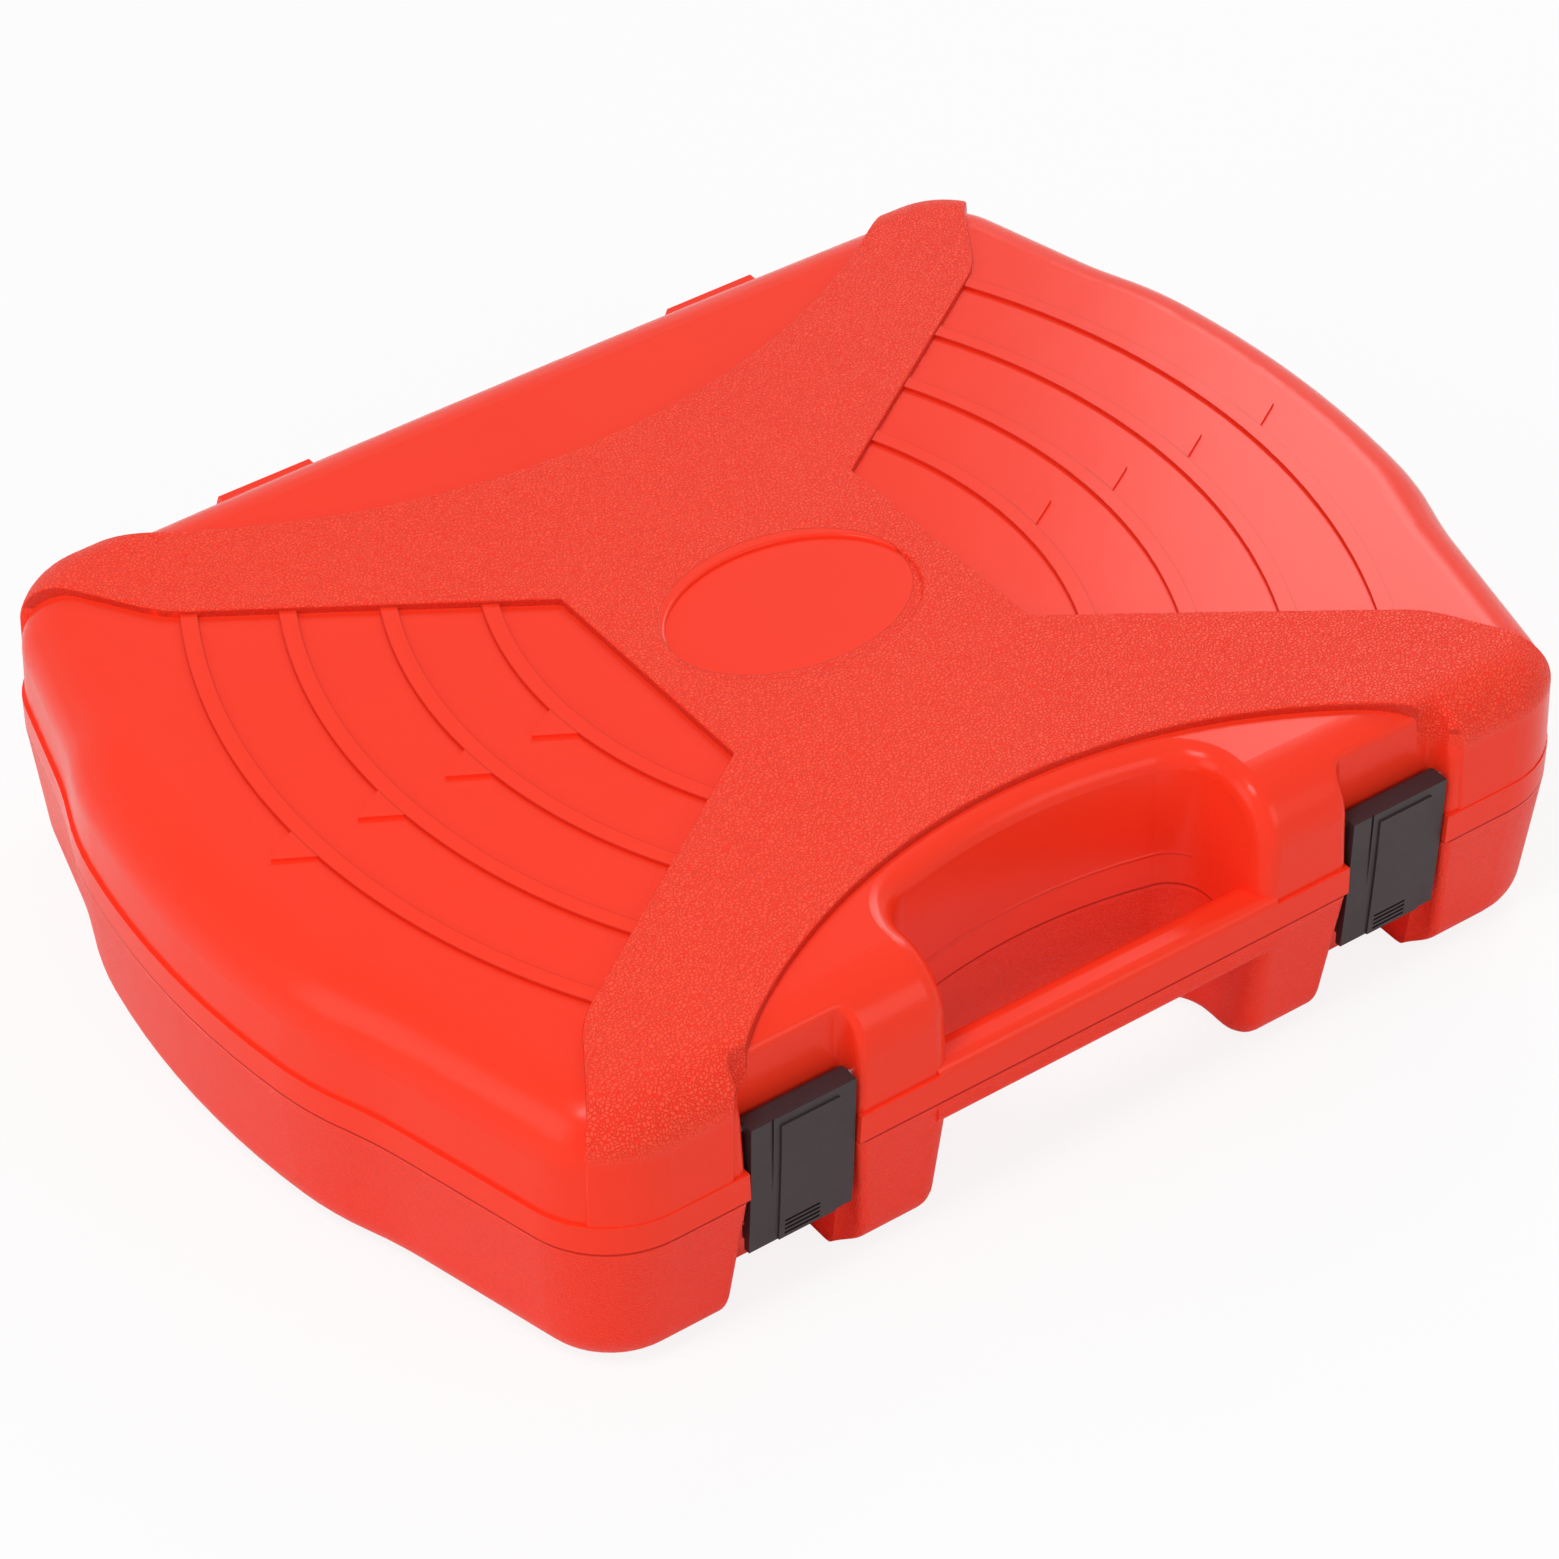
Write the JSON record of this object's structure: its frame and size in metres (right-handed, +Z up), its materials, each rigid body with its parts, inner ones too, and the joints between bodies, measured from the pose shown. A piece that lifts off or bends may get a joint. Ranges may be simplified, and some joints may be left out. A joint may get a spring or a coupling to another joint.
{
  "type": "socket wrench set in a moulded case",
  "caption": "Moulded red plastic tool case with a carrying bar, snap latches and a hinged lid over a tray of sockets, ratchets, bars and bits.",
  "frame": {"origin": "centre of the flat underside the closed case rests on, midway along its length and depth", "axes": "+X along the case's length to the right seen from the handle side, +Y from the handle to the hinge, +Z up to the lid"},
  "size_m": [0.387, 0.2989, 0.092],
  "materials": {
    "case_plastic": "red moulded plastic, smooth fields beside a fine grained raised panel",
    "latch_plastic": "black moulded plastic, low sheen",
    "pin_steel": "plain drawn wire",
    "chrome_tool": "satin chrome plating",
    "drive_steel": "machined steel",
    "screw_steel": "blued small hardware",
    "grip_rubber": "moulded soft grip",
    "insert_rubber": "black rubber sleeve",
    "bit_steel": "hardened bit steel",
    "holder_plastic": "black moulded plastic"
  },
  "bodies": {
    "base": {"base_shell": "case_plastic", "hinge_pins": "pin_steel", "socket_half_inch_10mm": "chrome_tool", "socket_half_inch_12mm": "chrome_tool", "socket_half_inch_13mm": "chrome_tool", "socket_half_inch_14mm": "chrome_tool", "socket_half_inch_15mm": "chrome_tool", "socket_half_inch_17mm": "chrome_tool", "socket_half_inch_19mm": "chrome_tool", "socket_half_inch_22mm": "chrome_tool", "socket_half_inch_24mm": "chrome_tool", "socket_quarter_inch_5mm": "chrome_tool", "socket_quarter_inch_6mm": "chrome_tool", "socket_quarter_inch_7mm": "chrome_tool", "socket_quarter_inch_8mm": "chrome_tool", "socket_quarter_inch_9mm": "chrome_tool", "socket_quarter_inch_10mm": "chrome_tool", "socket_quarter_inch_11mm": "chrome_tool", "socket_quarter_inch_12mm": "chrome_tool", "socket_quarter_inch_13mm": "chrome_tool", "spark_plug_socket_16mm": "chrome_tool", "spark_plug_insert": "insert_rubber", "extension_bar_long": "chrome_tool", "extension_bar_short": "chrome_tool", "extension_bar_thin": "chrome_tool", "drive_adaptor": "chrome_tool", "spinner_shaft": "chrome_tool", "spinner_grip": "grip_rubber", "ratchet_half_inch_handle": "chrome_tool", "ratchet_half_inch_grip": "grip_rubber", "ratchet_half_inch_cover_plate": "chrome_tool", "ratchet_half_inch_cover_screws": "screw_steel", "ratchet_quarter_inch_handle": "chrome_tool", "ratchet_quarter_inch_grip": "grip_rubber", "ratchet_quarter_inch_cover_plate": "chrome_tool", "ratchet_quarter_inch_cover_screws": "screw_steel", "bits_slotted": "bit_steel", "bits_cross": "bit_steel", "bits_hex": "bit_steel", "bits_star": "bit_steel", "bit_holder": "holder_plastic"},
    "lid": {"lid_shell": "case_plastic", "latch_pins": "pin_steel"},
    "latch_left": {"latch_left": "latch_plastic"},
    "latch_right": {"latch_right": "latch_plastic"},
    "half_inch_drive_gear": {"ratchet_half_inch_drive_gear": "drive_steel"},
    "half_inch_pawl": {"ratchet_half_inch_pawl": "screw_steel"},
    "half_inch_reversing_lever": {"ratchet_half_inch_reversing_lever": "chrome_tool"},
    "half_inch_release_button": {"ratchet_half_inch_release_button": "screw_steel"},
    "quarter_inch_drive_gear": {"ratchet_quarter_inch_drive_gear": "drive_steel"},
    "quarter_inch_pawl": {"ratchet_quarter_inch_pawl": "screw_steel"},
    "quarter_inch_reversing_lever": {"ratchet_quarter_inch_reversing_lever": "chrome_tool"},
    "quarter_inch_release_button": {"ratchet_quarter_inch_release_button": "screw_steel"}
  },
  "joints": [
    {"name": "lid_hinge", "type": "hinge", "parent": "base", "child": "lid", "pos_m": [0, 0.15075, 0.0455], "axis": [-1, 0, 0], "range_deg": [0, 110]},
    {"name": "latch_left_pivot", "type": "hinge", "parent": "lid", "child": "latch_left", "pos_m": [-0.098, -0.13695, 0.0657], "axis": [-1, 0, 0], "range_deg": [0, 85]},
    {"name": "latch_right_pivot", "type": "hinge", "parent": "lid", "child": "latch_right", "pos_m": [0.098, -0.13695, 0.0657], "axis": [-1, 0, 0], "range_deg": [0, 85]},
    {"name": "half_inch_drive_spin", "type": "hinge", "parent": "base", "child": "half_inch_drive_gear", "pos_m": [-0.131, 0.025, 0.0415], "axis": [0, 0, 1], "continuous": true},
    {"name": "half_inch_lever_turn", "type": "hinge", "parent": "base", "child": "half_inch_reversing_lever", "pos_m": [-0.131, 0.025, 0.0535], "axis": [0, 0, 1], "range_deg": [-16, 16]},
    {"name": "half_inch_pawl_rock", "type": "hinge", "parent": "base", "child": "half_inch_pawl", "pos_m": [-0.116, 0.025, 0.0415], "axis": [0, 0, 1], "range_deg": [-4, 4]},
    {"name": "half_inch_button_press", "type": "slide", "parent": "half_inch_reversing_lever", "child": "half_inch_release_button", "axis": [0, 0, -1], "range_m": [0, 0.0015], "stiffness_N_per_m": 300},
    {"name": "quarter_inch_drive_spin", "type": "hinge", "parent": "base", "child": "quarter_inch_drive_gear", "pos_m": [-0.1385, -0.038, 0.0415], "axis": [0, 0, 1], "continuous": true},
    {"name": "quarter_inch_lever_turn", "type": "hinge", "parent": "base", "child": "quarter_inch_reversing_lever", "pos_m": [-0.1385, -0.038, 0.0535], "axis": [0, 0, 1], "range_deg": [-16, 16]},
    {"name": "quarter_inch_pawl_rock", "type": "hinge", "parent": "base", "child": "quarter_inch_pawl", "pos_m": [-0.1291, -0.038, 0.0415], "axis": [0, 0, 1], "range_deg": [-4, 4]},
    {"name": "quarter_inch_button_press", "type": "slide", "parent": "quarter_inch_reversing_lever", "child": "quarter_inch_release_button", "axis": [0, 0, -1], "range_m": [0, 0.0012], "stiffness_N_per_m": 300}
  ],
  "couplings": [
    {"joint": "half_inch_pawl_rock", "follows": "half_inch_lever_turn", "ratio": -0.25},
    {"joint": "quarter_inch_pawl_rock", "follows": "quarter_inch_lever_turn", "ratio": -0.25}
  ]
}
